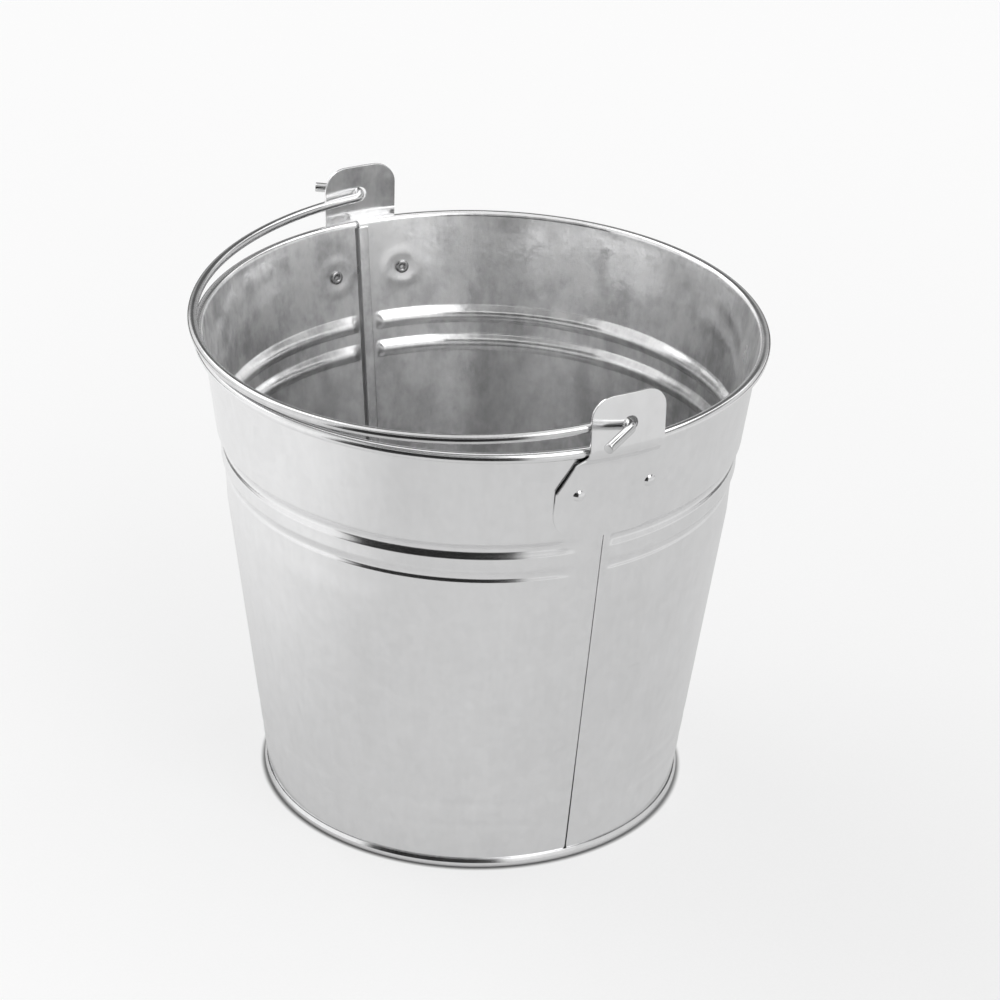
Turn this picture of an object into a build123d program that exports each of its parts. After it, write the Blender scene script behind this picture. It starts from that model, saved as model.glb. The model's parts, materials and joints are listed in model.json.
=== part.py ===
from build123d import *

import os
from math import asin, atan2, cos, degrees, radians, sin

# A small galvanised flower bucket: two half-round wall panels joined by two
# lock seams, a seamed-in bottom, a wired rim, two riveted ears and a bail.
# Millimetres. Origin at the centre of the foot plane, +Z up, the ears on the
# Y axis, and the bail at rest over the rim's -X side.

# ---- driving dimensions ----
rim_radius = 100.0
height = 174.8
foot_wall_radius = 73.8
sheet = 0.4
layer_gap = 0.03

curl_radius = 1.9
curl_sweep = 315.0

# middle height, width and depth of each bead pressed into the wall
beads = ((135.8, 7.6, 1.7), (125.0, 7.0, 1.2), (29.0, 4.4, 0.5), (19.5, 4.4, 0.5))
bead_start_stop = 1.6
bead_end_stop = 6.4
bead_end_wall = 0.8

front_seam = -90.3
back_seam = 91.0
seam_width = 3.0
seam_gap = 0.12
seam_layer_gap = 0.08

chime_radius = 75.3
chime_height = 2.9
bottom_raise = 3.6

ear_offset = 1.4
ear_sheet = 0.9
ear_face_radius = 102.9
ear_half_width = 13.9
ear_top = 194.2
ear_corner = 8.0
wing_half_width = 21.2
wing_bottom = 137.6
wing_top = 157.0
wing_corner = 11.0
shoulder_height = 171.0
tab_foot = 173.1
ear_clearance = 0.04

pivot_height = 183.1
pivot_hole_radius = 2.8

rivet_spacing = 26.6
rivet_height = 155.6
rivet_shank_radius = 1.25
rivet_head_radius = 2.3
rivet_head_height = 1.1
rivet_head_edge = 0.68
rivet_tail_radius = 2.5
rivet_tail_height = 1.0
rivet_bore_radius = 0.75
rivet_bore_depth = 0.5

wire_radius = 1.7
bail_half_span = 99.4
bail_reach = 101.4
bail_droop = 2.9
bend_radius = 3.0
hook_turn = 149.0
hook_length = 13.5
front_hook_dip = 9.0
back_hook_dip = -9.0

# ---- worked out from them ----
curl_centre_radius = rim_radius - curl_radius
curl_centre_height = height - curl_radius
wall_top_radius = curl_centre_radius - curl_radius + sheet
flare = (wall_top_radius - foot_wall_radius) / curl_centre_height
lean = degrees(atan2(flare, 1.0))
hem_height = sheet + layer_gap
seam_bottom = bottom_raise + sheet + layer_gap
seam_top = curl_centre_height
ear_inner_radius = ear_face_radius - ear_sheet
drill_reach = 3 * ear_sheet

os.makedirs("parts", exist_ok=True)


def wall_radius(z, depth=0.0):
    """Radius of the wall's outer face at height z, moved inwards by depth."""
    return foot_wall_radius + flare * z - depth


def radial_plane(azimuth):
    """The plane through the Z axis whose X points outwards at this azimuth."""
    a = radians(azimuth)
    return Plane(origin=(0, 0, 0), x_dir=(cos(a), sin(a), 0), z_dir=(sin(a), -cos(a), 0))


def degrees_of(length, radius=rim_radius):
    """The angle that an arc of this length covers."""
    return degrees(length / radius)


def wall_outline():
    """Half-panel section: foot hem, wall and the curl over the rim wire."""
    curl_end = 180.0 - curl_sweep
    centre = (curl_centre_radius, curl_centre_height)
    hem_out = chime_radius - sheet - layer_gap
    hem_top = chime_height - sheet - 2 * layer_gap
    inner_foot = (wall_radius(hem_height, sheet), hem_height)
    outer_foot = (wall_radius(hem_height + sheet), hem_height + sheet)
    hem_corner = (hem_out - sheet, hem_height + sheet)
    with BuildLine() as outline:
        curl_inner_end = centre + Vector(1, 0).rotate(Axis.Z, curl_end) * (curl_radius - sheet)
        curl_outer_end = centre + Vector(1, 0).rotate(Axis.Z, curl_end) * curl_radius
        Line(inner_foot, (curl_centre_radius - curl_radius, curl_centre_height))
        CenterArc(centre, curl_radius, 180.0, -curl_sweep)
        Line(curl_outer_end, curl_inner_end)
        CenterArc(centre, curl_radius - sheet, curl_end, curl_sweep)
        Line((wall_top_radius, curl_centre_height), outer_foot)
        Polyline(outer_foot, hem_corner, (hem_out - sheet, hem_top), (hem_out, hem_top),
                 (hem_out, hem_height), inner_foot)
    return outline.line


def bead_section(mid, width, depth, inset):
    """The lens between the wall's face and a bead pressed into it."""
    low, high = mid - width / 2, mid + width / 2
    with BuildLine() as lens:
        ThreePointArc((wall_radius(low, inset), low), (wall_radius(mid, inset + depth), mid),
                      (wall_radius(high, inset), high))
        Line((wall_radius(high, inset), high), (wall_radius(low, inset), low))
    return lens.line


def turned(section, start, arc, mode=Mode.ADD):
    """Revolves a section about Z, from one azimuth over an arc."""
    with BuildSketch(radial_plane(start)) as sketch:
        add(section)
        make_face()
    revolve(sketch.sketch, axis=Axis.Z, revolution_arc=arc, mode=mode)


def rivet_places(side):
    """Azimuths of the two rivets of the ear on this side (-1 or 1)."""
    radius = wall_radius(rivet_height)
    return [
        side * 90.0 - side * degrees(asin((ear_offset + step * rivet_spacing / 2) / radius))
        for step in (-1, 1)
    ]


def rivet_plane(azimuth, radius):
    """On the wall at a rivet, with its Z along the wall's outward normal."""
    a, tilt = radians(azimuth), radians(lean)
    outward = (cos(a) * cos(tilt), sin(a) * cos(tilt), -sin(tilt))
    place = (radius * cos(a), radius * sin(a), rivet_height)
    return Plane(origin=place, x_dir=(-sin(a), cos(a), 0), z_dir=outward)


def rivet_holes():
    """Cuts every rivet's hole through the part being built."""
    for side in (-1, 1):
        for azimuth in rivet_places(side):
            with BuildSketch(rivet_plane(azimuth, wall_radius(rivet_height))) as hole:
                Circle(rivet_shank_radius + layer_gap)
            extrude(hole.sketch, amount=drill_reach, both=True, mode=Mode.SUBTRACT)


# ---- wall panels: each one hooks into the other at both lock seams ----
def layer(count):
    """Depth of the near face of this layer of the folded seam."""
    return count * (sheet + seam_layer_gap)


def seam_hook(azimuth, outline):
    """Runs a hook's plan outline (along the wall, depth) up the seam, bent to the wall."""
    a = radians(azimuth)
    radius = wall_radius(seam_bottom)
    foot = Plane(
        origin=(radius * cos(a), radius * sin(a), seam_bottom), x_dir=(-sin(a), cos(a), 0)
    )
    bent = [(along, depth + along**2 / (2 * radius)) for along, depth in outline]
    with BuildSketch(foot) as hook:
        with BuildLine():
            Polyline(*bent, close=True)
        make_face()
    rise = (seam_top - seam_bottom) / cos(radians(lean))
    extrude(hook.sketch, amount=rise, dir=(flare * cos(a), flare * sin(a), 1))


def wall_panel(start, end):
    """A half-round panel between the seams at these azimuths."""
    gap = degrees_of(seam_gap)
    bead_start = start + degrees_of(bead_start_stop)
    bead_arc = end - degrees_of(bead_end_stop) - bead_start
    end_wall = degrees_of(bead_end_wall)
    far_fold = seam_width + seam_layer_gap
    with BuildPart() as panel:
        turned(wall_outline(), start + gap, end - start - gap)
        for mid, width, depth in beads:
            turned(bead_section(mid, width, depth, sheet), bead_start - end_wall,
                   bead_arc + 2 * end_wall)
            turned(bead_section(mid, width, depth, 0.0), bead_start, bead_arc,
                   mode=Mode.SUBTRACT)
        # the edge that stays outside: folded in and back as the third layer
        seam_hook(end, [
            (-sheet, sheet / 2), (0, sheet / 2), (0, layer(2) + sheet),
            (-seam_width, layer(2) + sheet), (-seam_width, layer(2)), (-sheet, layer(2)),
        ])
        # the edge that goes inside: over the top as the fourth layer, tucked back as the second
        seam_hook(start, [
            (seam_gap, sheet / 2), (seam_gap + sheet, sheet / 2),
            (seam_gap + sheet, layer(3) + sheet), (-far_fold - sheet, layer(3) + sheet),
            (-far_fold - sheet, layer(1)), (-sheet - seam_layer_gap, layer(1)),
            (-sheet - seam_layer_gap, layer(1) + sheet), (-far_fold, layer(1) + sheet),
            (-far_fold, layer(3)), (seam_gap, layer(3)),
        ])
        rivet_holes()
    return panel.part


with BuildPart() as wall_panel_right:
    add(wall_panel(front_seam, back_seam))
wall_panel_right.part.label = "wall_panel_right"
export_step(wall_panel_right.part, "parts/wall_panel_right.step")

with BuildPart() as wall_panel_left:
    add(wall_panel(back_seam, front_seam + 360.0))
wall_panel_left.part.label = "wall_panel_left"
export_step(wall_panel_left.part, "parts/wall_panel_left.step")


# ---- bottom: a raised disc whose edge wraps the panels' foot hem ----
with BuildPart() as bottom:
    upright = wall_radius(hem_height, sheet) - layer_gap
    lip = wall_radius(chime_height) + layer_gap
    with BuildSketch(Plane.XZ):
        with BuildLine():
            Polyline(
                (0, bottom_raise),
                (upright - sheet, bottom_raise),
                (upright - sheet, 0),
                (chime_radius, 0),
                (chime_radius, chime_height),
                (lip, chime_height),
                (lip, chime_height - sheet),
                (chime_radius - sheet, chime_height - sheet),
                (chime_radius - sheet, sheet),
                (upright, sheet),
                (upright, bottom_raise + sheet),
                (0, bottom_raise + sheet),
                close=True,
            )
        make_face()
    revolve(axis=Axis.Z)
bottom.part.label = "bottom"
export_step(bottom.part, "parts/bottom.step")


# ---- the wire that the rim is curled around ----
with BuildPart() as rim_wire:
    with BuildSketch(Plane.XZ):
        with Locations((curl_centre_radius, curl_centre_height)):
            Circle(curl_radius - sheet - layer_gap)
    revolve(axis=Axis.Z)
rim_wire.part.label = "rim_wire"
export_step(rim_wire.part, "parts/rim_wire.step")


# ---- ears: wings riveted to the wall, a joggle round the rim and a pierced tab ----
def ear_section():
    """The ear's section: along the wall, out past the curl, then upright."""
    low, high = wing_bottom - ear_sheet, ear_top + ear_sheet
    turn_in = tab_foot - (ear_inner_radius - wall_radius(tab_foot))
    skin = ear_clearance + ear_sheet
    with BuildLine() as section:
        Polyline(
            (wall_radius(low) + ear_clearance, low),
            (wall_radius(turn_in) + ear_clearance, turn_in),
            (ear_inner_radius, tab_foot),
            (ear_inner_radius, high),
            (ear_face_radius, high),
            (ear_face_radius, tab_foot - ear_sheet / 2),
            (wall_radius(turn_in) + skin, turn_in - ear_sheet / 2),
            (wall_radius(low) + skin, low),
            close=True,
        )
    return section.line


def ear_outline():
    """The ear seen square on: tab, sloping shoulders and rounded wings."""
    with BuildSketch(Plane.XZ) as outline:
        with BuildLine():
            Polyline(
                (ear_half_width, ear_top),
                (ear_half_width, shoulder_height),
                (wing_half_width, wing_top),
                (wing_half_width, wing_bottom),
                (-wing_half_width, wing_bottom),
                (-wing_half_width, wing_top),
                (-ear_half_width, shoulder_height),
                (-ear_half_width, ear_top),
                close=True,
            )
        make_face()
        fillet(outline.vertices().group_by(Axis.Y)[-1], ear_corner)
        fillet(outline.vertices().group_by(Axis.Y)[0], wing_corner)
        with Locations((0, pivot_height)):
            Circle(pivot_hole_radius, mode=Mode.SUBTRACT)
    return outline.sketch


def ear(side):
    """The ear on this side of the bucket (-1 or 1 along Y)."""
    half_arc = degrees_of(2 * wing_half_width)
    with BuildPart() as plate:
        turned(ear_section(), side * 90.0 - half_arc, 2 * half_arc)
        with BuildSketch(Plane.XZ.move(Location((ear_offset, 0, 0)))):
            add(ear_outline())
        extrude(amount=2 * rim_radius, both=True, mode=Mode.INTERSECT)
        rivet_holes()
    return plate.part


with BuildPart() as ear_front:
    add(ear(-1))
ear_front.part.label = "ear_front"
export_step(ear_front.part, "parts/ear_front.step")

with BuildPart() as ear_back:
    add(ear(1))
ear_back.part.label = "ear_back"
export_step(ear_back.part, "parts/ear_back.step")


# ---- rivets: a domed head outside, a rolled tail inside ----
def rivet(azimuth):
    """One tubular rivet through an ear and the wall, set from inside."""
    head_seat = ear_clearance + ear_sheet + layer_gap
    tail_seat = -sheet - layer_gap
    crown = head_seat + rivet_head_height
    bore_floor = tail_seat - rivet_tail_height + rivet_bore_depth
    tail_middle = (rivet_tail_radius + rivet_bore_radius) / 2
    shoulder = (rivet_head_edge * rivet_head_radius, crown - rivet_head_height * rivet_head_edge**2)
    with BuildPart() as body:
        with BuildSketch(Plane.XZ):
            with BuildLine():
                Line((0, bore_floor), (0, crown))
                ThreePointArc((0, crown), shoulder, (rivet_head_radius, head_seat))
                Polyline(
                    (rivet_head_radius, head_seat),
                    (rivet_shank_radius, head_seat),
                    (rivet_shank_radius, tail_seat),
                    (rivet_tail_radius, tail_seat),
                )
                ThreePointArc(
                    (rivet_tail_radius, tail_seat),
                    (tail_middle, tail_seat - rivet_tail_height),
                    (rivet_bore_radius, bore_floor),
                )
                Line((rivet_bore_radius, bore_floor), (0, bore_floor))
            make_face()
        revolve(axis=Axis.Z)
    plane = rivet_plane(azimuth, wall_radius(rivet_height))
    return body.part.moved(plane.location)


rivet_names = {
    -1: ("rivet_front_left", "rivet_front_right"),
    1: ("rivet_back_left", "rivet_back_right"),
}
for side, names in rivet_names.items():
    for name, azimuth in zip(names, rivet_places(side)):
        with BuildPart() as one_rivet:
            add(rivet(azimuth))
        one_rivet.part.label = name
        export_step(one_rivet.part, f"parts/{name}.step")


# ---- bail: one wire, an open half-oval with both ends hooked through the ears ----
droop = radians(bail_droop)
bail_plane = Plane(
    origin=(ear_offset, 0, pivot_height),
    x_dir=(-cos(droop), 0, -sin(droop)),
    z_dir=(sin(droop), 0, -cos(droop)),
)


def hook_point(along, outward, side, dip):
    """A point of a hook: along the arm, outward from it and dipped about it."""
    tilt = radians(dip)
    return (along, side * (bail_half_span + outward * cos(tilt)), outward * sin(tilt))


def hook(side, dip):
    """Bends the wire out through an ear and back; returns the hook's last two points."""
    turn = radians(hook_turn)
    bend_middle = hook_point(0, bend_radius, side, dip)
    bend_end = (bend_radius * (1 - sin(turn)), bend_radius * (1 - cos(turn)))
    tip = (bend_end[0] - hook_length * cos(turn), bend_end[1] + hook_length * sin(turn))
    start_point = hook_point(bend_radius, 0, side, dip)
    end_point = hook_point(*bend_end, side, dip)
    tip_point = hook_point(*tip, side, dip)
    ThreePointArc(start_point, bend_middle, end_point)
    Line(end_point, tip_point)
    return end_point, tip_point


with BuildPart() as handle:
    with BuildLine(bail_plane) as bail_line:
        EllipticalCenterArc(
            (bend_radius, 0), bail_reach - bend_radius, bail_half_span, start_angle=-90, arc_size=180
        )
        hook_foot, hook_tip = (
            bail_plane.from_local_coords(Vector(*point)) for point in hook(-1, front_hook_dip)
        )
        hook(1, back_hook_dip)
    with BuildSketch(Plane(origin=hook_tip, z_dir=hook_tip - hook_foot)):
        Circle(wire_radius)
    sweep(path=bail_line.wires()[0])
handle.part.label = "handle"
export_step(handle.part, "parts/handle.step")
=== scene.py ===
import json
import math

import bmesh
import bpy
import numpy as np
from mathutils import Matrix, Vector, geometry


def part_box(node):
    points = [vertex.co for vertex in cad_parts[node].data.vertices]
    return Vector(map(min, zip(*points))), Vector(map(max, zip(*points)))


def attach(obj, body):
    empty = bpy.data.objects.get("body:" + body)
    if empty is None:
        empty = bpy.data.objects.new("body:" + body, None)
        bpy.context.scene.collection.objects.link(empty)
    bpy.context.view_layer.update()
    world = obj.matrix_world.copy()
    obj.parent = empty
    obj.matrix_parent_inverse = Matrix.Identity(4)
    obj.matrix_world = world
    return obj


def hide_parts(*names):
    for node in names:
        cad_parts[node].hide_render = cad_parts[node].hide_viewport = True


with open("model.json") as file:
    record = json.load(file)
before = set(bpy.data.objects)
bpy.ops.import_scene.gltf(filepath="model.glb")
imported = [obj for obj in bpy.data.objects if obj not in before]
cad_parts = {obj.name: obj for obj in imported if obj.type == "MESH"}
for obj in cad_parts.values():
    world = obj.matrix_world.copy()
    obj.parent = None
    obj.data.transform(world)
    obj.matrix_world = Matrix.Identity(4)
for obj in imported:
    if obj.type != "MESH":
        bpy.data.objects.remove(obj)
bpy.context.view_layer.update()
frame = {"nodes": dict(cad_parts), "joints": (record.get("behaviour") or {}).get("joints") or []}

# Lengths are millimetres unless a name says metres. Meshes are scaled to metres as they are made.
MM = 0.001
BUCKET, BAIL = "bucket", "bail"


def node_box(node):
    """Lowest and highest corner of a CAD node, in millimetres."""
    low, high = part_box(node)
    return np.array(low) / MM, np.array(high) / MM


# ---- sizes read from the frame ----
rim_low, rim_high = node_box("rim_wire")
right_high = node_box("wall_panel_right")[1]
bottom_high = node_box("bottom")[1]
ear_low, ear_high = node_box("ear_front")
hinge = next(joint for joint in frame["joints"] if joint["name"] == "bail_swing")
pivot = np.array(hinge["pos_m"]) / MM

rim_radius = right_high[0]
height = right_high[2]
curl_centre_height = (rim_low[2] + rim_high[2]) / 2
curl_radius = height - curl_centre_height
curl_centre_radius = rim_radius - curl_radius
chime_radius = bottom_high[0]
pan_top = bottom_high[2]
ear_offset = pivot[0]
ear_half_wing = (ear_high[0] - ear_low[0]) / 2
ear_face_radius = -ear_low[1]
ear_top = ear_high[2]
wing_bottom = ear_low[2]

# ---- driving sizes that a box can't tell ----
sheet = 0.4
layer_gap = 0.03
foot_wall_radius = 73.8
wall_top_radius = curl_centre_radius - curl_radius + sheet
flare = (wall_top_radius - foot_wall_radius) / curl_centre_height
lean = math.atan(flare)

front_seam = -90.3
back_seam = 91.0
seam_width = 3.0
seam_gap = 0.2
seam_layer = sheet + 0.08
joggle_foot, joggle_head = 1.3, 0.5
seam_low = pan_top + 0.4
seam_high = curl_centre_height
seam_edge_radius = 0.8

# Grooves that add up to the beads: middle height, widths below and above it, and depth. On the
# near side each strong bead is a short steep groove with a gentle one under it, and sits lower.
foot_beads = ((29.0, 2.7, 2.7, 0.38), (19.5, 2.7, 2.7, 0.38))
near_beads = (
    (135.8, 2.8, 4.0, 1.00),
    (135.8, 10.0, 4.0, 0.75),
    (125.0, 1.5, 3.6, 0.50),
    (125.0, 14.0, 3.6, 0.80),
    *foot_beads,
)
far_beads = ((135.8, 3.0, 4.0, 1.75), (125.0, 3.0, 3.6, 1.35), *foot_beads)
bead_dip = 1.8
near_azimuth = -117.7
# Where the near side's beads take over from the far side's: 0 is opposite near_azimuth, 1 at it.
near_blend = (0.30, 0.60)
# Distances from a seam over which the beads fade in.
bead_start_fade = (1.0, 5.5)
front_end_fade = (5.0, 20.0)
back_end_fade = (5.0, 8.6)
# Stretches of the wall, each with the spacing of its rows: close over the beads, wide between.
row_stretches = (
    (1.4, 13.0, 4.0),
    (13.0, 33.0, 0.6),
    (33.0, 108.0, 5.0),
    (108.0, 119.0, 1.0),
    (119.0, 141.0, 0.27),
    (141.0, 168.0, 0.9),
    (168.0, curl_centre_height - 1.5, 2.0),
)
# The waviness of hand-formed sheet, and the heights where it fades in and out.
ripple_depth = 0.10
ripple_low_fade = (8, 30)
ripple_high_fade = (150, 166)

curl_sweep = math.radians(315.0)
# Heights of the wall's hem at the foot, and of the rolled edge that the bottom wraps round it.
hem_bend = 1.2
hem_height = 0.63
chime_shoulder = 1.9
chime_crown = 3.05
chime_lip = 3.1

ear_sheet = 0.9
ear_clearance = 0.04
ear_half_tab = 13.9
ear_tab_corner = 8.0
ear_wing_corner = 11.0
ear_wing_top = 157.0
ear_shoulder = 171.0
ear_tab_foot = 173.1
ear_bend_radius = 2.4
ear_edge = 0.16
# The ear's shoulders spring off the wall: how far, and where that starts and ends.
ear_spring = 0.4
spring_across = (7, 20)
spring_start = (146, 160)
spring_end = (169, 173)
pivot_hole = 2.8

rivet_spacing = 26.6
rivet_height = 155.6
rivet_shank = 1.25
rivet_head = 2.3
rivet_dome_radius = 2.75
rivet_dome_rise = 1.25
rivet_roll_radius = 1.62
rivet_roll_width = 0.88
rivet_roll_depth = 0.5
# The ring that riveting pushes inwards round each rivet.
pucker_depth = 0.22
pucker_radius = 5.5
pucker_width = 2.2
pucker_wall_radius = foot_wall_radius * 1.2

wire_radius = 1.7
bail_half_span = 99.4
bail_reach = 101.4
bail_droop = math.radians(2.9)
bend_radius = 3.0
hook_turn = math.radians(149.0)
hook_length = 13.5
front_dip = math.radians(9.0)
back_dip = math.radians(-9.0)
wire_end_edge = 0.28

sharp_angle = math.radians(50)


# ---------------------------------------------------------------- meshes
def new_piece(name, points, faces, materials, body, replaced, material_of=None):
    """Makes a smooth-shaded mesh object from millimetre points and sends it along with a body."""
    mesh = bpy.data.meshes.new(name)
    mesh.from_pydata((np.asarray(points) * MM).tolist(), [], faces)
    mesh.validate()
    for material in materials:
        mesh.materials.append(material)
    mesh.polygons.foreach_set("use_smooth", np.ones(len(mesh.polygons), bool))
    if material_of is not None:
        mesh.polygons.foreach_set("material_index", np.asarray(material_of, np.int32))
    mesh.set_sharp_from_angle(angle=sharp_angle)
    mesh.update()
    piece = bpy.data.objects.new(name, mesh)
    bpy.context.scene.collection.objects.link(piece)
    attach(piece, body)
    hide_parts(*replaced)
    return piece


class Build:
    """Gathers points and faces from several parts of one mesh."""

    def __init__(self):
        self.points, self.faces, self.marks, self.count = [], [], [], 0

    def add(self, points, faces, marks=None):
        """Appends points, the faces that index into them and each face's material index."""
        self.points.append(np.asarray(points, float).reshape(-1, 3))
        self.faces += [tuple(self.count + i for i in face) for face in faces]
        self.marks += marks if marks is not None else [0] * len(faces)
        self.count += len(self.points[-1])

    def all_points(self):
        """Every point so far, as one array."""
        return np.concatenate(self.points)


def grid_faces(rows, columns, close_rows=False, close_columns=False):
    """Quads of a grid whose point (row, column) is at index row * columns + column."""
    faces = []
    for i in range(rows if close_rows else rows - 1):
        j = (i + 1) % rows
        for k in range(columns if close_columns else columns - 1):
            m = (k + 1) % columns
            faces.append((i * columns + k, i * columns + m, j * columns + m, j * columns + k))
    return faces


def flipped(faces):
    """The same faces, looking the other way."""
    return [face[::-1] for face in faces]


def fillet_path(corners, radii, closed=False, step=math.radians(12)):
    """A 2-D path through corner points whose corners are rounded, one radius each (0 keeps it)."""
    corners = [np.array(c, float) for c in corners]
    count = len(corners)
    path = []
    for i, corner in enumerate(corners):
        radius = radii[i] if isinstance(radii, (list, tuple)) else radii
        if radius == 0 or (not closed and i in (0, count - 1)):
            path.append(corner)
            continue
        to_last, to_next = corners[i - 1] - corner, corners[(i + 1) % count] - corner
        to_last, to_next = to_last / np.linalg.norm(to_last), to_next / np.linalg.norm(to_next)
        half = math.acos(np.clip(to_last @ to_next, -1, 1)) / 2
        reach = radius / math.tan(half)
        halfway = (to_last + to_next) / np.linalg.norm(to_last + to_next)
        centre = corner + halfway * radius / math.sin(half)
        first, last = corner + to_last * reach - centre, corner + to_next * reach - centre
        turn = math.atan2(first[0] * last[1] - first[1] * last[0], first @ last)
        pieces = max(3, math.ceil(abs(turn) / step))
        for k in range(pieces + 1):
            c, s = math.cos(turn * k / pieces), math.sin(turn * k / pieces)
            turned = np.array([c * first[0] - s * first[1], s * first[0] + c * first[1]])
            path.append(centre + turned)
    return np.array(path)


def normals_2d(path, closed=False):
    """Unit normals to the left of a 2-D path."""
    if closed:
        along = np.roll(path, -1, 0) - np.roll(path, 1, 0)
    else:
        along = np.gradient(path, axis=0)
    along /= np.linalg.norm(along, axis=1)[:, None]
    return np.stack([-along[:, 1], along[:, 0]], 1)


def ribbon(path, thickness):
    """The closed outline of a sheet that follows a 2-D path along its middle."""
    side = normals_2d(path) * thickness / 2
    return np.concatenate([path + side, (path - side)[::-1]])


def revolve(section, azimuths):
    """Points and quads of a closed (radius, height) section turned once round by azimuths."""
    r, z = section[:, 0], section[:, 1]
    x, y = np.outer(np.cos(azimuths), r), np.outer(np.sin(azimuths), r)
    points = np.stack([x, y, np.tile(z, (len(azimuths), 1))], 2)
    return points.reshape(-1, 3), grid_faces(len(azimuths), len(r), True, True)


def smoothstep(value, low, high):
    """0 below low, 1 above high and smooth between."""
    t = np.clip((value - low) / (high - low), 0, 1)
    return t * t * (3 - 2 * t)


# ---------------------------------------------------------------- wall panels
wave_wall_radius = 90


def wave_field(seed, count, longest, shortest):
    """Smooth waviness of hand-formed sheet: a sum of seeded waves round and up the wall."""
    rng = np.random.default_rng(seed)
    waves = []
    for _ in range(count):
        length = longest * (shortest / longest) ** rng.random()
        heading = rng.uniform(-0.5, 0.5)
        phase = rng.uniform(0, 2 * math.pi)
        around = round(2 * math.pi * wave_wall_radius / length * math.cos(heading))
        waves.append((around, 2 * math.pi / length * math.sin(heading), phase, length / longest))

    def field(azimuth, z):
        total = np.zeros(np.broadcast(azimuth, z).shape)
        for around, upward, phase, weight in waves:
            total = total + weight * np.sin(around * azimuth + upward * z + phase)
        return total / count

    return field


sheet_waves = wave_field(7, 14, 90.0, 26.0)


def bead_depth(beads, z):
    """How far the beads press the wall inwards at height z."""
    depth = np.zeros_like(z)
    for middle, below, above, deep in beads:
        t = np.clip((z - middle) / np.where(z < middle, below, above), -1, 1)
        depth += deep * (1 - t * t) ** 1.5
    return depth


def rivet_azimuth(side, step):
    """A rivet's azimuth, in radians: front (-1) or back (1) ear, left (-1) or right (1) rivet."""
    radius = foot_wall_radius + flare * rivet_height
    across = ear_offset + step * rivet_spacing / 2
    return side * math.pi / 2 - side * math.asin(across / radius)


def pucker(radians, z):
    """How far riveting has pushed the sheet inwards in a ring round each rivet."""
    depth = np.zeros(np.broadcast(radians, z).shape)
    for side in (-1, 1):
        for step in (-1, 1):
            turned = (radians - rivet_azimuth(side, step) + math.pi) % (2 * math.pi) - math.pi
            distance = np.hypot(turned * pucker_wall_radius, z - rivet_height)
            depth = depth + pucker_depth * np.exp(-((distance - pucker_radius) / pucker_width) ** 2)
    return depth


def panel_azimuths(first, last, to_angle):
    """Azimuths of a panel's columns, in degrees: close together near both its edges."""
    near_edge = np.concatenate([np.linspace(0, seam_edge_radius, 8), np.linspace(1.1, 20.4, 42)])
    return np.concatenate([
        first + near_edge * to_angle,
        np.linspace(first + 21.0 * to_angle, last - 21.0 * to_angle, 144),
        (last - near_edge * to_angle)[::-1],
    ])


def wall_surfaces(radians, bead_share):
    """The beaded wall's outer and inner surface: (radius, height) of each column's rows."""
    z = np.concatenate([np.arange(*stretch) for stretch in row_stretches])[None, :]
    low_fade = smoothstep(z, *ripple_low_fade)
    high_fade = smoothstep(-z, -ripple_high_fade[1], -ripple_high_fade[0])
    nearness = (1 + np.cos(radians - math.radians(near_azimuth))) / 2
    near_share = smoothstep(nearness, *near_blend)
    lowered = z + bead_dip * nearness
    pressed = bead_depth(near_beads, lowered) * near_share
    pressed = pressed + bead_depth(far_beads, lowered) * (1 - near_share)
    middle = foot_wall_radius + flare * z - sheet / 2 - pressed * bead_share[:, None]
    middle = middle + ripple_depth * (low_fade * high_fade) * sheet_waves(radians, z)
    middle = middle - pucker(radians, z)
    slope = np.gradient(middle, z[0], axis=1)
    steep = np.sqrt(1 + slope**2)
    outer = np.stack([middle + sheet / 2 / steep, z - sheet / 2 * slope / steep], 2)
    inner = np.stack([middle - sheet / 2 / steep, z + sheet / 2 * slope / steep], 2)
    return outer, inner


def hem_outline():
    """The closed outline of the hem that the wall's foot turns out into the rolled edge."""
    wall = foot_wall_radius - sheet / 2
    reach = chime_radius - sheet - layer_gap - sheet
    corners = [(wall, hem_bend), (wall, hem_height), (reach, hem_height), (reach, hem_bend + 0.1)]
    return ribbon(fillet_path(corners, 0.25), sheet * 0.9)


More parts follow.
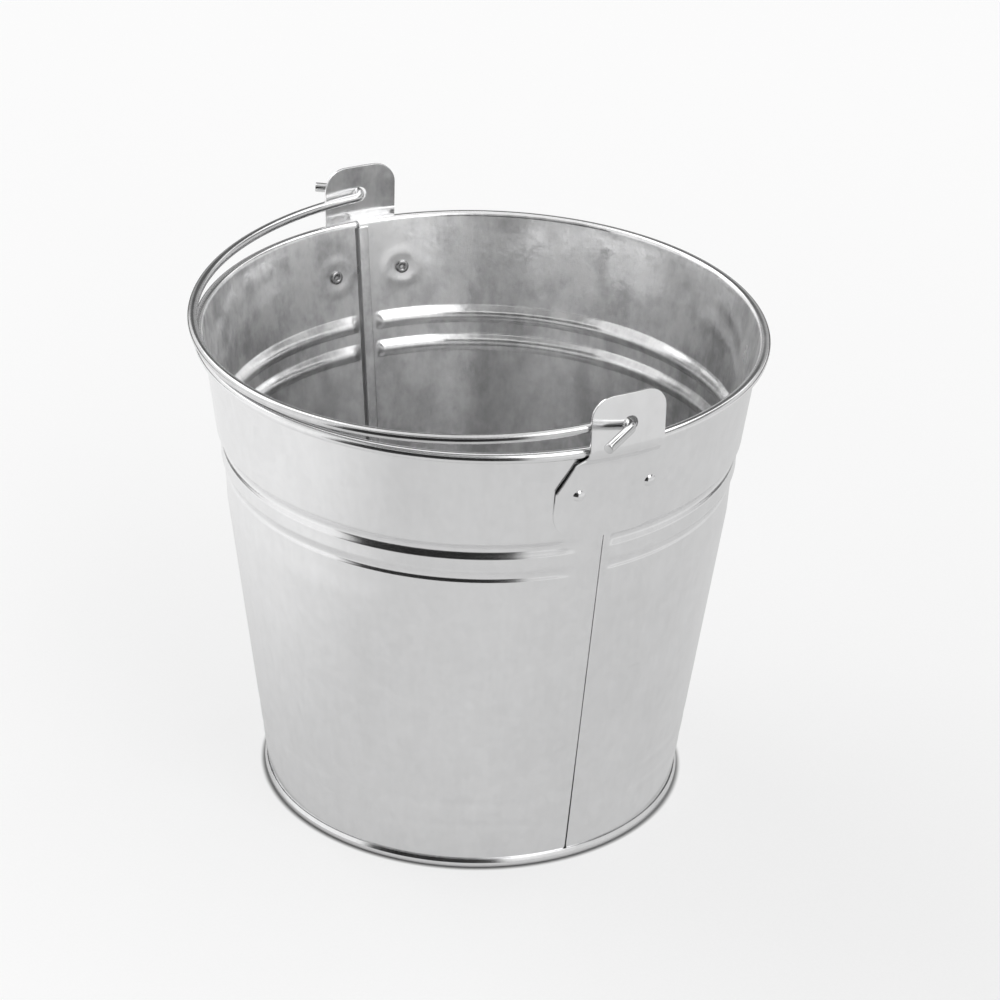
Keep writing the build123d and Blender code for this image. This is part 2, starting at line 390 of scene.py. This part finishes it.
def wall_panel(name, start, end, end_fade, materials):
    """A half-round panel between two seams: foot hem, beaded wall, rolled rim and seam folds."""
    to_angle = math.degrees(1 / rim_radius)
    first, last = start + seam_gap * to_angle, end
    azimuths = panel_azimuths(first, last, to_angle)
    from_start = (azimuths - first) / to_angle
    from_end = (last - azimuths) / to_angle
    bead_share = smoothstep(from_start, *bead_start_fade) * smoothstep(from_end, *end_fade)
    inside_edge = np.clip(seam_edge_radius - np.minimum(from_start, from_end), 0, seam_edge_radius)
    edge_roll = seam_edge_radius - np.sqrt(seam_edge_radius**2 - inside_edge**2)
    radians = np.radians(azimuths)[:, None]
    outer, inner = wall_surfaces(radians, bead_share)

    curl_start = math.pi - lean
    angles = np.linspace(curl_start, curl_start - curl_sweep, 57)
    centre = np.array([curl_centre_radius, curl_centre_height])
    circle = np.stack([np.cos(angles), np.sin(angles)], 1)
    curl_out = centre + curl_radius * circle
    curl_in = (centre + (curl_radius - sheet) * circle)[::-4]
    columns = len(azimuths)

    def each(path):
        return np.tile(path[None], (columns, 1, 1))

    hem = hem_outline()
    half = len(hem) // 2
    hem_out, hem_in = each(hem[half:][::-1]), each(hem[:half][::-1])
    # up the inside, over the curl and back inside it, down the outside, round the hem
    parts = [inner, each(curl_out), each(curl_in), outer[:, ::-1], hem_out, hem_in]
    section = np.concatenate(parts, 1)
    section[:, :, 0] -= edge_roll[:, None]
    radius, count = section[:, :, 0], section.shape[1]
    points = np.stack([radius * np.cos(radians), radius * np.sin(radians), section[:, :, 1]], 2)

    faces = grid_faces(columns, count, False, True)
    outside_from = inner.shape[1] + len(curl_out) // 8
    rows = [min(i % count for i in face) for face in faces]
    marks = [0 if row >= outside_from or row == 0 else 1 for row in rows]
    faces.append(tuple(range(count))[::-1])
    faces.append(tuple(range((columns - 1) * count, columns * count)))
    build = Build()
    build.add(points, faces, marks + [0, 0])

    for azimuth, fold in ((last, outer_fold()), (start, inner_fold())):
        outline = ribbon(fold, sheet)
        points, faces = seam_strip(azimuth, outline)
        width = len(outline)
        # faces on the folds' joggle side get the dark crease zinc: painted shade in the seam's
        # crease
        painted_shade_faces = [min(outline[i % width, 0] for i in face) > joggle_head - 0.25 for face in faces]
        build.add(points, faces, [2 if painted_dark else 1 for painted_dark in painted_shade_faces])
    return new_piece(
        name, build.all_points(), build.faces, materials, BUCKET, [name], build.marks)


def outer_fold():
    """Middle line of the edge that stays outside: turned in and back as the third layer."""
    depth = 2 * seam_layer + sheet / 2
    return fillet_path([(-sheet / 2, 0.35), (-sheet / 2, depth), (-seam_width, depth)], 0.3)


def inner_fold():
    """Middle line of the inner edge: over as the fourth layer, tucked in as the second."""
    over, under = 3 * seam_layer + sheet / 2, seam_layer + sheet / 2
    left = -seam_width - 0.08 - sheet / 2
    reach = (over - under) / 2 - 0.01
    corners = [
        (joggle_foot, 0.12), (joggle_head, over), (left, over), (left, under),
        (-sheet - 0.1, under),
    ]
    return fillet_path(corners, [0, 1.0, reach, reach, 0])


def seam_strip(azimuth, outline):
    """Sweeps a folded sheet, drawn as (along the wall, depth), up the inside of a seam."""
    a = math.radians(azimuth)
    tangent = np.array([-math.sin(a), math.cos(a)])
    outward = np.array([math.cos(a), math.sin(a)])
    rows = []
    for z in np.linspace(seam_low, seam_high, 45):
        radius = foot_wall_radius + flare * z
        bend = outline[:, 0] ** 2 / (2 * radius)
        plan = outline[:, :1] * tangent + (radius - outline[:, 1:] - bend[:, None]) * outward
        rows.append(np.column_stack([plan, np.full(len(plan), z)]))
    count = len(outline)
    half = count // 2
    faces = grid_faces(len(rows), count, False, True)
    for base, turn in ((0, 1), ((len(rows) - 1) * count, -1)):
        for k in range(half - 1):
            quad = (base + k, base + k + 1, base + count - 2 - k, base + count - 1 - k)
            faces.append(quad[::turn])
    return np.concatenate(rows), flipped(faces)


# ---------------------------------------------------------------- bottom
def bottom_pan(materials):
    """The raised bottom, its upstand, and the double seam it makes round the foot."""
    upstand = foot_wall_radius - sheet * 1.5 - layer_gap
    lip = foot_wall_radius + flare * chime_lip + sheet / 2 + 0.05
    rim = chime_radius - sheet / 2
    path = fillet_path(
        [(0.6, pan_top - sheet / 2), (upstand, pan_top - sheet / 2), (upstand, sheet / 2),
         (rim, sheet / 2), (rim, chime_shoulder), (rim - 0.6, chime_crown), (lip, chime_lip)],
        [0, 1.1, 0.3, 0.35, 0.4, 0.25, 0], step=math.radians(9))
    flat = np.linspace(path[0], path[1], 14)[:-1]
    section = ribbon(np.concatenate([flat, path[1:]]), sheet)
    azimuths = np.linspace(0, 2 * math.pi, 240, endpoint=False)
    points, faces = revolve(section, azimuths)
    count = len(section)
    inner_edge = {(count - 1, 0), (0, count - 1)}
    build = Build()
    build.add(points, [f for f in faces if (f[0] % count, f[1] % count) not in inner_edge])
    for end, turn in ((0, -1), (count - 1, 1)):
        ring = [k * count + end for k in range(len(azimuths))]
        hub = build.count
        build.add([(0, 0, section[end, 1])], [])
        for k, point in enumerate(ring):
            build.faces.append((hub, point, ring[(k + 1) % len(ring)])[::turn])
    reach = np.hypot(*build.all_points()[:, :2].T)
    marks = [int(min(reach[list(face)]) < upstand) for face in build.faces]
    return new_piece(
        "bottom_pan", build.all_points(), build.faces, materials, BUCKET, ["bottom"], marks)


# ---------------------------------------------------------------- ears
def ear_section():
    """Middle line of an ear as (radius, height): up the wall, out over the rim, then upright."""
    stand_off = ear_clearance + ear_sheet / 2
    upright = ear_face_radius - ear_sheet / 2
    turn_in = ear_tab_foot - (upright - ear_sheet / 2 - foot_wall_radius - flare * ear_tab_foot)
    low, high = wing_bottom - 4, ear_top + 4
    return fillet_path(
        [(foot_wall_radius + flare * low + stand_off, low),
         (foot_wall_radius + flare * turn_in + stand_off, turn_in - ear_sheet / 4),
         (upright, ear_tab_foot - ear_sheet / 4), (upright, high)],
        ear_bend_radius, step=math.radians(6))


def ear_outline():
    """The ear's outline seen square on, as (across, height), going round with dense points."""
    corners = [
        (ear_half_tab, ear_top), (-ear_half_tab, ear_top), (-ear_half_tab, ear_shoulder),
        (-ear_half_wing, ear_wing_top), (-ear_half_wing, wing_bottom), (ear_half_wing, wing_bottom),
        (ear_half_wing, ear_wing_top), (ear_half_tab, ear_shoulder),
    ]
    radii = [ear_tab_corner, ear_tab_corner, 0.8, 1.2, ear_wing_corner, ear_wing_corner, 1.2, 0.8]
    return resampled(fillet_path(corners, radii, True, math.radians(6)), 0.8)


def resampled(path, spacing):
    """Adds points to a closed path so that no step is longer than the spacing."""
    out = []
    for here, there in zip(path, np.roll(path, -1, 0)):
        pieces = max(1, math.ceil(np.linalg.norm(there - here) / spacing))
        out += [here + (there - here) * k / pieces for k in range(pieces)]
    return np.array(out)


def circle_path(centre, radius, count):
    """Points of a circle, going round clockwise, as holes do."""
    angles = -np.linspace(0, 2 * math.pi, count, endpoint=False)
    return np.array(centre) + radius * np.stack([np.cos(angles), np.sin(angles)], 1)


def inside(points, outline):
    """Which points are inside a closed outline."""
    x, y = points[:, 0][:, None], points[:, 1][:, None]
    x0, y0 = outline[:, 0], outline[:, 1]
    x1, y1 = np.roll(x0, -1), np.roll(y0, -1)
    crosses = (y0 > y) != (y1 > y)
    rise = np.where(y1 == y0, 1, y1 - y0)
    return (np.sum(crosses & (x < (x1 - x0) * (y - y0) / rise + x0), 1) % 2) == 1


def plate_triangles(loops, spacing):
    """Triangles over a plate bounded by its first loop and holed by the others."""
    outline = loops[0]
    low, high = outline.min(0), outline.max(0)
    across = np.arange(low[0] + spacing / 2, high[0], spacing)
    up = np.arange(low[1] + spacing / 2, high[1], spacing)
    inner = np.stack(np.meshgrid(across, up), -1).reshape(-1, 2)
    keep = inside(inner, outline)
    for hole in loops[1:]:
        keep &= ~inside(inner, hole)
    edge_points = np.concatenate(loops)
    gap = np.array([np.min(np.sum((edge_points - p) ** 2, 1)) for p in inner])
    inner = inner[keep & (gap > (spacing * 0.45) ** 2)]
    points = np.concatenate([edge_points, inner])
    edges, base = [], 0
    for loop in loops:
        edges += [(base + k, base + (k + 1) % len(loop)) for k in range(len(loop))]
        base += len(loop)
    result = geometry.delaunay_2d_cdt([Vector(p) for p in points], edges, [], 0, 1e-6)
    flat, faces, origin = np.array([tuple(v) for v in result[0]]), result[2], result[3]
    middle = np.array([flat[list(face)].mean(0) for face in faces])
    keep = inside(middle, outline)
    for hole in loops[1:]:
        keep &= ~inside(middle, hole)
    index = [first[0] for first in origin]
    return points, [tuple(index[i] for i in face) for face, k in zip(faces, keep) if k]


def ear(name, side, materials):
    """One ear: a pierced plate bent round the rim, with rounded sheared edges."""
    path = ear_section()
    heights = path[:, 1]
    slope = np.gradient(path[:, 0], heights)

    def place(flat, depth):
        """Puts a point of the flat ear, this far in front of its middle, on the bent ear."""
        z = flat[:, 1]
        spring = ear_spring * smoothstep(np.abs(flat[:, 0]), *spring_across)
        spring = spring * smoothstep(z, *spring_start)
        spring = spring * smoothstep(-z, -spring_end[1], -spring_end[0])
        tilt = np.arctan(np.interp(z, heights, slope))
        radius = np.interp(z, heights, path[:, 0]) + spring + depth * np.cos(tilt)
        x = flat[:, 0] + ear_offset
        return np.stack([x, side * np.sqrt(radius**2 - x**2), z - depth * np.sin(tilt)], 1)

    loops = [ear_outline(), circle_path((0, pivot[2]), pivot_hole, 40)]
    for step in (-1, 1):
        loops.append(circle_path((step * rivet_spacing / 2, rivet_height), rivet_shank + 0.05, 24))
    support = 0.12
    half = ear_sheet / 2
    # rings from the front face's support ring, round the edge, to the back face's support ring
    rings = [(ear_edge + support, half)]
    rings += [(inset, half - ear_edge + rise) for inset, rise in edge_profile()]
    rings += [(inset, -depth) for inset, depth in rings[::-1]]
    build = Build()
    shrunk = [loop + normals_2d(loop, True) * (ear_edge + support) for loop in loops]
    flat, triangles = plate_triangles(shrunk, 1.6)
    facing = triangles if side < 0 else flipped(triangles)
    build.add(place(flat, half), facing)
    build.add(place(flat, -half), flipped(facing))
    for loop in loops:
        normal = normals_2d(loop, True)
        points = np.concatenate([place(loop + normal * inset, depth) for inset, depth in rings])
        faces = grid_faces(len(rings), len(loop), False, True)
        build.add(points, faces if side < 0 else flipped(faces))
    piece = new_piece(name, build.all_points(), build.faces, materials, BUCKET, [name])
    return weld(piece)


def edge_profile():
    """Rounds a sheared edge: (inset, rise above the flat of the roll's start) going outwards."""
    angles = np.linspace(0, math.pi / 2, 5)
    return [(ear_edge * (1 - math.sin(t)), ear_edge * math.cos(t)) for t in angles]


def weld(piece, distance=1e-6):
    """Joins points that sit on one another, and makes the faces agree on their outside."""
    work = bmesh.new()
    work.from_mesh(piece.data)
    bmesh.ops.remove_doubles(work, verts=work.verts, dist=distance)
    bmesh.ops.recalc_face_normals(work, faces=work.faces)
    work.to_mesh(piece.data)
    work.free()
    piece.data.set_sharp_from_angle(angle=sharp_angle)
    return piece


# ---------------------------------------------------------------- rivets
def rivet(name, side, step, materials):
    """A tubular rivet: a domed head outside and a rolled tail inside the wall."""
    radius = foot_wall_radius + flare * rivet_height
    azimuth = rivet_azimuth(side, step)
    seat = ear_clearance + ear_sheet + layer_gap
    tail = -sheet - layer_gap
    crown = seat + rivet_dome_rise - rivet_dome_radius
    head = [
        (rivet_dome_radius * math.sin(t), crown + rivet_dome_radius * math.cos(t))
        for t in np.linspace(0, math.asin(rivet_head / rivet_dome_radius), 14)
    ]
    shank = [(rivet_head, seat), (rivet_shank, seat), (rivet_shank, tail), (rivet_head, tail)]
    roll = [
        (rivet_roll_radius + rivet_roll_width * math.cos(t),
         tail - rivet_roll_depth * (1 + math.sin(t)))
        for t in np.linspace(-0.6, math.pi, 14)
    ]
    bore = [(0.72, tail - 0.2), (0.5, tail + 0.15), (0.0, tail + 0.2)]
    section = np.array(head + shank + roll + bore)
    azimuths = np.linspace(0, 2 * math.pi, 48, endpoint=False)
    points, faces = revolve(section, azimuths)
    count = len(section)
    faces = [f for f in faces if {f[0] % count, f[1] % count} != {0, count - 1}]
    c, s = math.cos(azimuth), math.sin(azimuth)
    outward = np.array([c * math.cos(lean), s * math.cos(lean), -math.sin(lean)])
    across = np.array([-s, c, 0])
    base = np.array([radius * c, radius * s, rivet_height])
    placed = base + points @ np.stack([across, np.cross(outward, across), outward])
    marks = [int(max(points[i, 2] for i in face) < 0) for face in faces]
    piece = new_piece(name, placed, faces, materials, BUCKET, [name], marks)
    return weld(piece)


# ---------------------------------------------------------------- handle
def handle(materials):
    """The bail: one wire bent to half an oval, both ends hooked out through the ears and back."""
    along_axis = np.array([-math.cos(bail_droop), 0, -math.sin(bail_droop)])
    up_axis = np.array([math.sin(bail_droop), 0, -math.cos(bail_droop)])
    across_axis = np.cross(up_axis, along_axis)

    def hook(side, dip):
        """Points of a hook from the bail's end to its tip, in the bail's own axes."""
        turns = np.linspace(0, hook_turn, 22)
        along = bend_radius * (1 - np.sin(turns))
        outward = bend_radius * (1 - np.cos(turns))
        reach = np.linspace(0, hook_length, 14)[1:]
        along = np.concatenate([along, along[-1] - reach * math.cos(hook_turn)])
        outward = np.concatenate([outward, outward[-1] + reach * math.sin(hook_turn)])
        return np.stack(
            [along, side * (bail_half_span + outward * math.cos(dip)), outward * math.sin(dip)], 1
        )

    sweep = np.linspace(-math.pi / 2, math.pi / 2, 200)
    oval = np.stack(
        [bend_radius + (bail_reach - bend_radius) * np.cos(sweep), bail_half_span * np.sin(sweep),
         np.zeros(len(sweep))], 1)
    path = np.concatenate([hook(-1, front_dip)[:0:-1], oval, hook(1, back_dip)[1:]])
    axes = np.stack([along_axis, across_axis, up_axis])
    path = pivot + path @ axes
    return swept_wire(path, materials)


def swept_wire(path, materials):
    """Sweeps round wire along a path, with its cut ends slightly rounded."""
    along = np.gradient(path, axis=0)
    along /= np.linalg.norm(along, axis=1)[:, None]
    side = np.cross(along[0], [0, 0, 1.0])
    side /= np.linalg.norm(side)
    angles = np.linspace(0, 2 * math.pi, 28, endpoint=False)
    rings = []
    for point, forward in zip(path, along):
        side = side - forward * (side @ forward)
        side /= np.linalg.norm(side)
        other = np.cross(forward, side)
        ring = np.outer(np.cos(angles), side) + np.outer(np.sin(angles), other)
        rings.append(point + wire_radius * ring)

    def cut_end(end, turn):
        """Rings that round the edge of a cut end, from its face inwards."""
        around, out = rings[end] - path[end], turn * along[end]
        rounded = []
        for t in np.linspace(0, math.pi / 2, 5)[:-1]:
            share = (wire_radius - wire_end_edge * (1 - math.sin(t))) / wire_radius
            rounded.append(path[end] + around * share + out * wire_end_edge * (math.cos(t) - 1))
        return rounded

    rings = cut_end(0, -1) + rings[1:-1] + cut_end(-1, 1)[::-1]
    count = len(angles)
    faces = grid_faces(len(rings), count, False, True)
    faces += [tuple(range(count)), tuple(range((len(rings) - 1) * count, len(rings) * count))[::-1]]
    points = np.concatenate(rings)
    return weld(new_piece("bail_wire", points, faces, materials, BAIL, ["handle"]))


# ---------------------------------------------------------------- materials
# The roughness of zinc's dull layer, and the scales of its patterns in features per metre.
dull_roughness = 0.5
crystal_scale = 260.0
streak_scale = 420.0
broad_scale = 55.0
blotch_scale = 70.0
mottle_scale = 240.0
grain_scale = 5200.0
dent_scale = 34.0
# Heights in metres of the dents, streaks, mottle and grain.
dent_height = 0.0011
streak_height = 0.00002
mottle_height = 0.00003
grain_height = 0.000008
# Heights between which the inside's painted shade fades from its low tone to its full one.
painted_shade_fade = (0.095, 0.145)


class Nodes:
    """Short ways to make and join shader nodes."""

    def __init__(self, tree):
        self.tree = tree
        self.tree.nodes.clear()

    def make(self, kind, inputs=(), **settings):
        """A node with its settings and its inputs, which are values or other nodes' sockets."""
        node = self.tree.nodes.new(kind)
        for key, value in settings.items():
            setattr(node, key, value)
        for key, value in dict(inputs).items():
            self.put(node.inputs[key], value)
        return node

    def put(self, socket, value):
        """Joins a socket to another, or sets its value."""
        if isinstance(value, bpy.types.NodeSocket):
            self.tree.links.new(value, socket)
        else:
            socket.default_value = value

    def math(self, operation, a, b=0.0):
        """One math node's result."""
        return self.make("ShaderNodeMath", {0: a, 1: b}, operation=operation).outputs[0]

    def add(self, a, b):
        """The sum of two values."""
        return self.math("ADD", a, b)

    def times(self, a, b):
        """The product of two values."""
        return self.math("MULTIPLY", a, b)

    def rest(self, share):
        """What is left of 1 after a share."""
        return self.math("SUBTRACT", 1.0, share)

    def towards(self, x, y, azimuth):
        """How far (x, y) lies in the direction of an azimuth in degrees."""
        a = math.radians(azimuth)
        return self.add(self.times(x, math.cos(a)), self.times(y, math.sin(a)))

    def scaled(self, position, scale):
        """Position scaled along each axis."""
        inputs = {0: position, 1: scale}
        return self.make("ShaderNodeVectorMath", inputs, operation="MULTIPLY").outputs[0]

    def noise(self, position, scale, detail=3.0, roughness=0.55):
        """Noise from 0 to 1 at a scale in features per metre."""
        settings = {"Vector": position, "Scale": scale, "Detail": detail, "Roughness": roughness}
        return self.make("ShaderNodeTexNoise", settings).outputs["Fac"]

    def spread(self, value, low, high, to_low, to_high):
        """Maps a value from one range to another, smoothly and clamped."""
        inputs = {
            "Value": value, "From Min": low, "From Max": high, "To Min": to_low, "To Max": to_high}
        node = self.make("ShaderNodeMapRange", inputs, interpolation_type="SMOOTHSTEP")
        return node.outputs["Result"]

    def bump(self, height, distance, strength=1.0, normal=None):
        """A bump from a height, with the full height given in metres."""
        settings = {"Height": height, "Distance": distance, "Strength": strength}
        if normal is not None:
            settings["Normal"] = normal
        return self.make("ShaderNodeBump", settings).outputs["Normal"]


def zinc(name, tone, rough, dull=0.0, waves=1.0, streaks=1.0, spangle=1.0, stains=1.0, low=1.0):
    """Zinc in a glossy and a dull layer, with crystals, streaks, stains, dents and grain.

    The tone falls to its low share from the beads downwards, as painted shade.
    """
    material = bpy.data.materials.new(name)
    material.use_nodes = True
    n = Nodes(material.node_tree)
    place = n.make("ShaderNodeTexCoord").outputs["Object"]
    cell_inputs = {"Vector": place, "Scale": crystal_scale, "Randomness": 1.0}
    cells = n.make("ShaderNodeTexVoronoi", cell_inputs)
    crystal = n.make("ShaderNodeSeparateColor", {"Color": cells.outputs["Color"]}).outputs[0]
    upright = n.scaled(place, (1.0, 1.0, 0.12))
    streak = n.noise(upright, streak_scale, 4.0, 0.6)
    broad = n.noise(upright, broad_scale, 3.0, 0.5)
    blotch = n.noise(n.scaled(place, (1.0, 1.0, 0.6)), blotch_scale, 4.0, 0.6)
    mottle = n.noise(place, mottle_scale, 3.0, 0.6)
    grain = n.noise(place, grain_scale, 2.0, 0.6)
    dents = n.noise(n.scaled(place, (1.0, 1.0, 0.35)), dent_scale, 2.0, 0.45)

    def varied(value, *shares):
        """The value plus shares of textures that average a half."""
        for texture, share in shares:
            value = n.add(value, n.times(n.math("SUBTRACT", texture, 0.5), share))
        return value

    shade = varied(
        tone,
        (crystal, 0.035 * spangle),
        (streak, 0.10 * streaks),
        (blotch, 0.22 * stains),
        (mottle, 0.12 * stains),
    )
    # painted shade: the tone darkens from the beads downwards
    if low < 1:
        up = n.make("ShaderNodeSeparateXYZ", {0: place}).outputs[2]
        shade = n.times(shade, n.spread(up, *painted_shade_fade, low, 1.0))
    colour = n.make("ShaderNodeCombineColor", {0: shade, 1: shade, 2: n.times(shade, 1.004)})
    gloss = varied(
        rough, (crystal, 0.03 * spangle), (broad, 0.10 * streaks), (blotch, 0.14 * stains))
    dullness = n.spread(blotch, 0.35, 0.65, dull, 1.6 * dull)

    normal = n.bump(dents, dent_height, 0.32 * waves)
    normal = n.bump(streak, streak_height, 0.6 * streaks, normal)
    normal = n.bump(mottle, mottle_height, 0.6 * stains, normal)
    normal = n.bump(grain, grain_height, 0.5, normal)
    common = {"Base Color": colour.outputs[0], "Metallic": 1.0, "Normal": normal}
    glossy, flat = [
        n.make("ShaderNodeBsdfPrincipled", common | {"Roughness": roughness}).outputs[0]
        for roughness in (gloss, dull_roughness)
    ]
    surface = n.make("ShaderNodeMixShader", {0: dullness, 1: glossy, 2: flat})
    n.make("ShaderNodeOutputMaterial", {"Surface": surface.outputs[0]})
    return material


# ---------------------------------------------------------------- studio
# Patches of the sky: azimuth, half width, lowest and highest elevation and softness of the edges,
# all in degrees, and brightness. Bright ones are the studio's windows, dark ones its unlit sides.
sky_patches = (
    (62, 36, -20, 4, 6, 0.12),
    (50, 44, 4, 20, 5, 0.35),
    (58, 36, 20, 56, 6, 0.12),
    (142, 48, -14, 28, 5, 0.98),
    (122, 28, 28, 44, 4, 2.2),
    (135, 28, 48, 62, 4, 2.2),
    (165, 18, 26, 60, 5, 0.75),
    (-22, 30, 22, 44, 6, 0.20),
    (-24, 44, 46, 62, 5, 2.1),
    (-42, 62, -12, 22, 4, 0.70),
    (-77, 15, 28, 62, 4, 2.7),
    (-136, 36, -12, 33, 3, 0.02),
    (-140, 34, 36, 62, 6, 0.18),
)
# The sky's own brightness below and above the elevations where it changes.
sky_fade = (58, 70)
sky_low, sky_top = 1.46, 0.90
backdrop = 0.97


def studio_world():
    """A soft studio that the metal mirrors: four windows, a bright top and dark unlit sides."""
    world = bpy.data.worlds.new("studio")
    bpy.context.scene.world = world
    world.use_nodes = True
    n = Nodes(world.node_tree)
    split = n.make(
        "ShaderNodeSeparateXYZ", {0: n.make("ShaderNodeTexCoord").outputs["Generated"]})
    x, y, z = split.outputs
    # the share of a direction that is level, kept above 0 for the division below
    flat = n.math("SQRT", n.add(n.times(x, x), n.add(n.times(y, y), 1e-6)))

    def sine(elevation):
        return math.sin(math.radians(elevation))

    def patch(azimuth, half_width, low, high, soft):
        """1 inside a patch of sky, in degrees, and 0 outside, with soft edges."""
        facing = n.math("DIVIDE", n.towards(x, y, azimuth), flat)
        edge = [math.cos(math.radians(half_width + s)) for s in (soft, -soft)]
        mask = n.spread(facing, edge[0], edge[1], 0.0, 1.0)
        mask = n.times(mask, n.spread(z, sine(low - soft), sine(low + soft), 0.0, 1.0))
        return n.times(mask, n.spread(z, sine(high - soft), sine(high + soft), 1.0, 0.0))

    def over(value, mask, new):
        """The value where the mask is 0, and the new one where it is 1."""
        return n.add(n.times(value, n.rest(mask)), n.times(mask, new))

    level = n.spread(z, sine(sky_fade[0]), sine(sky_fade[1]), sky_low, sky_top)
    for *place, value in sky_patches:
        level = over(level, patch(*place), value)
    seen = n.make("ShaderNodeLightPath").outputs["Is Camera Ray"]
    level = over(level, seen, backdrop)
    background = n.make("ShaderNodeBackground", {"Color": (1, 1, 1, 1), "Strength": level})
    n.make("ShaderNodeOutputWorld", {"Surface": background.outputs[0]})


def floor_material():
    """Pale matt paint that glows a little: painted light for a studio sweep, with painted shade, a
    painted reflection and a painted contact shadow.
    """
    material = bpy.data.materials.new("floor_white_painted_light")
    material.use_nodes = True
    n = Nodes(material.node_tree)
    place = n.make("ShaderNodeTexCoord").outputs["Object"]
    x, y, _ = n.make("ShaderNodeSeparateXYZ", {0: place}).outputs
    out = n.math("SQRT", n.add(n.times(x, x), n.times(y, y)))
    far = n.towards(x, y, 63)
    seen = n.make("ShaderNodeLightPath").outputs["Is Camera Ray"]

    # painted light, what the camera sees: brighter away from it and to the left
    painted_light_shown = n.add(n.spread(far, -0.6, 0.8, 0.61, 0.70), n.spread(x, -0.4, 0.1, 0.09, 0.0))
    # painted reflection, what the metal mirrors: brighter towards the windows and further out, but
    # dark in front beyond the foot's surroundings, where the camera side is unlit, and far behind
    painted_reflection = n.spread(n.towards(x, y, 135), 0.04, 0.24, 0.405, 0.635)
    painted_reflection = n.add(painted_reflection, n.spread(out, 0.36, 0.50, 0.0, 0.12))
    front = n.math("DIVIDE", n.towards(x, y, -136), out)
    edge = [math.cos(math.radians(angle)) for angle in (39, 33)]
    front = n.times(n.spread(front, *edge, 0.0, 0.96), n.spread(out, 0.37, 0.41, 0.0, 1.0))
    lit = n.times(n.rest(front), n.spread(far, 0.42, 0.52, 1.0, 0.12))
    painted_reflection = n.times(painted_reflection, lit)
    glow = n.add(n.times(painted_light_shown, seen), n.times(painted_reflection, n.rest(seen)))
    # painted contact shadow: no glow under the bucket, so that its foot has a dark line of contact
    foot = chime_radius * MM
    glow = n.times(glow, n.spread(out, foot, foot + 0.002, 0.0, 1.0))

    grain = n.spread(n.noise(place, 900.0), 0.3, 0.7, 0.27, 0.28)
    # painted shade in the floor's colour too, where it is dark to the metal
    grain = n.times(grain, n.math("MAXIMUM", seen, lit))
    pale = n.make("ShaderNodeCombineColor", {0: grain, 1: grain, 2: grain})
    matt = n.make("ShaderNodeBsdfDiffuse", {"Color": pale.outputs[0]})
    light = n.make("ShaderNodeEmission", {"Color": (1, 1, 1, 1), "Strength": glow})
    both = n.make("ShaderNodeAddShader", {0: matt.outputs[0], 1: light.outputs[0]})
    n.make("ShaderNodeOutputMaterial", {"Surface": both.outputs[0]})
    return material


def studio_floor():
    """A plain floor under the bucket, reaching 3 m each way."""
    reach, steps = 3.0, 13
    ticks = np.linspace(-reach, reach, steps)
    points = [(px, py, 0.0) for py in ticks for px in ticks]
    mesh = bpy.data.meshes.new("floor")
    mesh.from_pydata(points, [], grid_faces(steps, steps))
    mesh.materials.append(floor_material())
    floor = bpy.data.objects.new("floor", mesh)
    bpy.context.scene.collection.objects.link(floor)


def camera():
    """The camera: above the rim and left of the near ear, with a long lens."""
    data = bpy.data.cameras.new("camera")
    data.sensor_width = 36.0
    data.lens = 137.45
    data.clip_start, data.clip_end = 0.05, 20.0
    eye = bpy.data.objects.new("camera", data)
    right = Vector((0.88858, -0.45798, 0.02613))
    up = Vector((0.19326, 0.42541, 0.88413))
    back = right.cross(up)
    eye.rotation_mode = "QUATERNION"
    eye.rotation_quaternion = Matrix((right, up, back)).transposed().to_quaternion()
    eye.location = (-0.55589, -1.06012, 0.73746)
    bpy.context.scene.collection.objects.link(eye)
    bpy.context.scene.camera = eye


# ---------------------------------------------------------------- the bucket
wall_zinc = zinc("zinc_wall_outside", 0.86, 0.17, spangle=0.6, streaks=0.5, stains=0.4)
# low=0.78 paints shade into the lower part of the inside
inside_zinc = zinc(
    "zinc_wall_inside", 0.95, 0.15, 0.28, waves=2.2, streaks=2.2, stains=3.4, low=0.78)
# a dark zinc that paints the shade in the crease beside each seam fold
crease_shade_zinc = zinc("zinc_crease_painted_shade", 0.42, 0.30, waves=0.3)
bottom_zinc = zinc("zinc_bottom", 0.46, 0.25, 0.30, stains=1.2)
ear_zinc = zinc("zinc_ear", 0.86, 0.14, waves=0.5, spangle=0.5, streaks=0.5, stains=0.5)
rivet_zinc = zinc("zinc_rivet_head", 0.84, 0.15, waves=0.0, spangle=0.3)
tail_zinc = zinc("zinc_rivet_tail", 0.42, 0.22, waves=0.0, spangle=0.3)
wire_steel = zinc("steel_wire", 0.70, 0.17, waves=0.0, spangle=0.3)

wall_materials = [wall_zinc, inside_zinc, crease_shade_zinc]
wall_panel("wall_panel_right", front_seam, back_seam, back_end_fade, wall_materials)
wall_panel("wall_panel_left", back_seam, front_seam + 360.0, front_end_fade, wall_materials)
bottom_pan([wall_zinc, bottom_zinc])
ear("ear_front", -1, [ear_zinc])
ear("ear_back", 1, [inside_zinc])
for side, place_name in ((-1, "front"), (1, "back")):
    for step, hand in ((-1, "left"), (1, "right")):
        rivet(f"rivet_{place_name}_{hand}", side, step, [rivet_zinc, tail_zinc])
handle([wire_steel])
for slot in frame["nodes"]["rim_wire"].material_slots:
    slot.material = wire_steel

studio_world()
studio_floor()
camera()
bpy.context.scene.view_settings.view_transform = "Standard"
